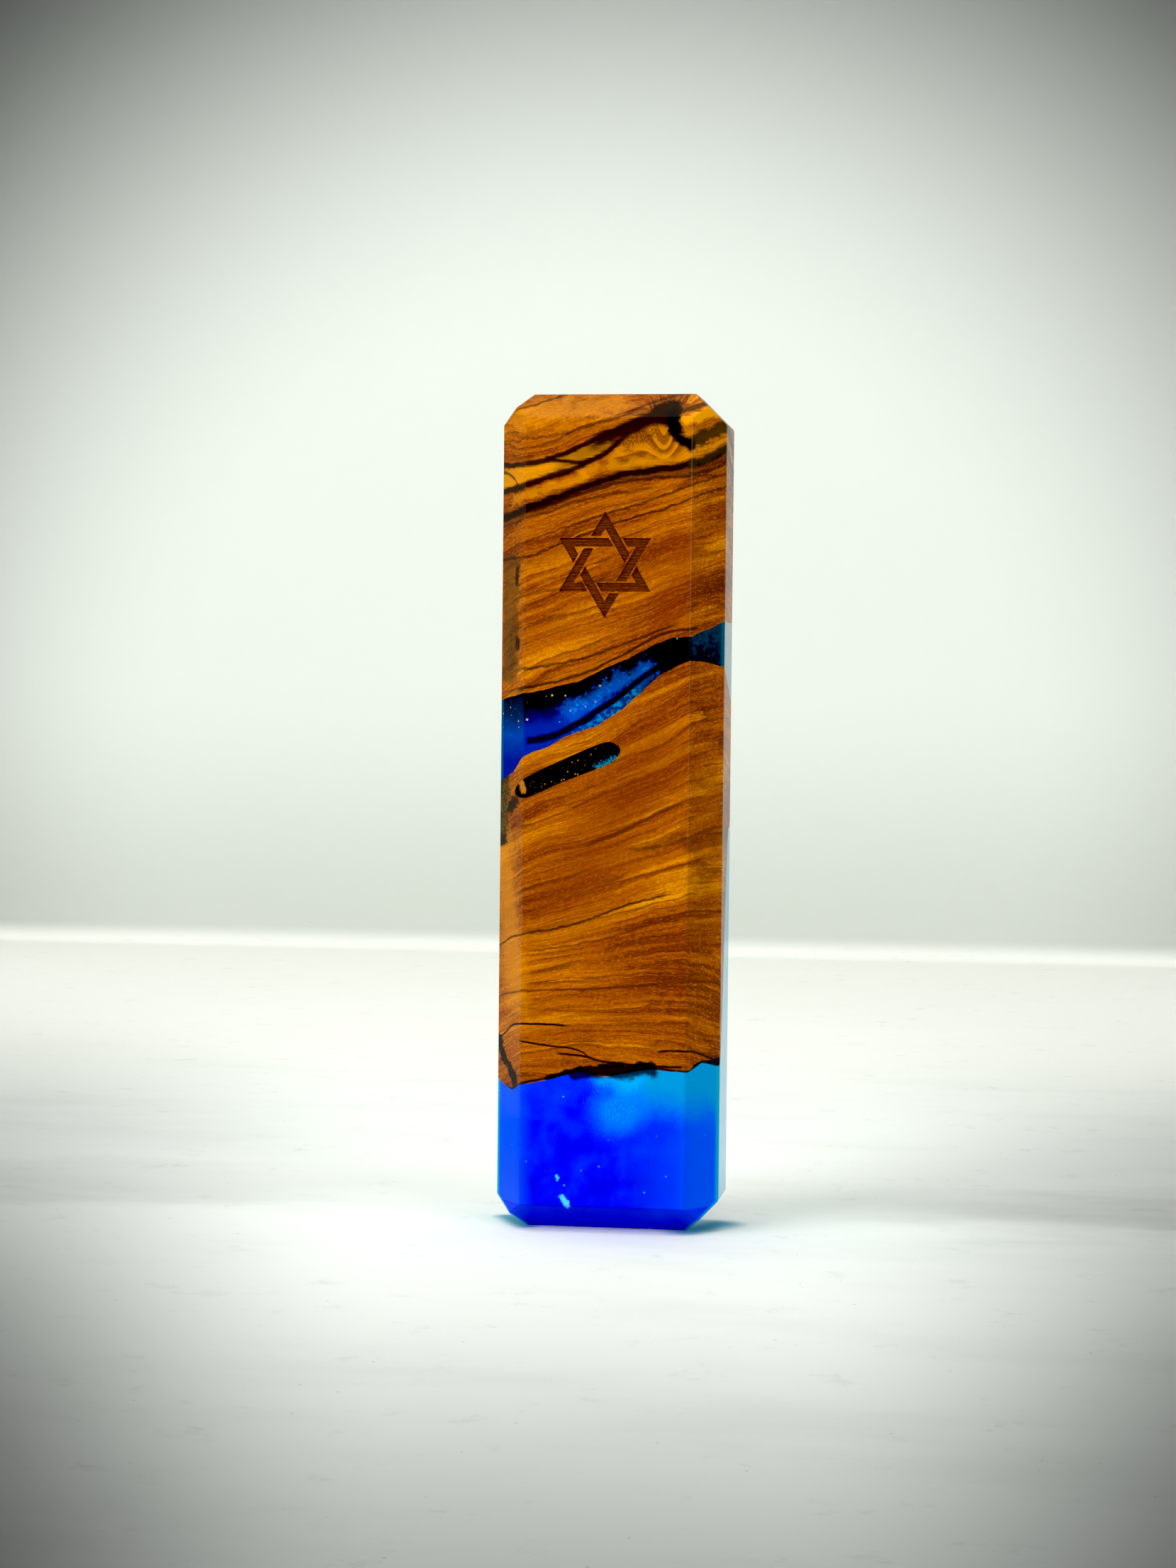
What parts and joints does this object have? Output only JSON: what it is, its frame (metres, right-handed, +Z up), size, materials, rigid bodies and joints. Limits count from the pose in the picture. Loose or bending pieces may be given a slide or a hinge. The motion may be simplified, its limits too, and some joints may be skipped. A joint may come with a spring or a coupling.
{
  "type": "mezuzah case",
  "caption": "Upright slab case of wood with a diagonal blue resin vein and resin lower end, holding a parchment roll behind a screwed back cover.",
  "frame": {"origin": "under the middle of the whole object, at its lower end", "axes": "+Z up along the case, -Y out of the front face, +Y towards the doorpost, +X to the right seen from the front"},
  "size_m": [0.035, 0.0184, 0.13],
  "materials": {
    "olive_wood": "lacquered, satin gloss",
    "cover_wood": "oiled, satin",
    "blue_resin": "polished epoxy resin",
    "black_resin": "polished epoxy resin with gold flecks",
    "brass": "brushed",
    "foam_tape": "foam with a paper liner",
    "clear_film": "clear film",
    "parchment": "matte parchment"
  },
  "bodies": {
    "case": {"wood_upper": "olive_wood", "wood_lower": "olive_wood", "resin_vein": "blue_resin", "resin_base": "blue_resin", "resin_slot": "black_resin"},
    "cover": {"back_cover": "cover_wood", "mounting_tape_upper": "foam_tape", "mounting_tape_lower": "foam_tape"},
    "upper_screw": {"cover_screw_upper": "brass"},
    "lower_screw": {"cover_screw_lower": "brass"},
    "scroll": {"roll_sleeve": "clear_film", "parchment_roll": "parchment"}
  },
  "joints": [
    {"name": "cover_lift", "type": "slide", "parent": "case", "child": "cover", "axis": [0, 1, 0], "range_m": [0, 0.04]},
    {"name": "scroll_lift", "type": "slide", "parent": "case", "child": "scroll", "axis": [0, 1, 0], "range_m": [0, 0.02]},
    {"name": "upper_screw_out", "type": "slide", "parent": "cover", "child": "upper_screw", "axis": [0, 1, 0], "range_m": [0, 0.012]},
    {"name": "lower_screw_out", "type": "slide", "parent": "cover", "child": "lower_screw", "axis": [0, 1, 0], "range_m": [0, 0.012]}
  ],
  "couplings": [
    {"joint": "scroll_lift", "follows": "cover_lift", "ratio": 0.5}
  ]
}
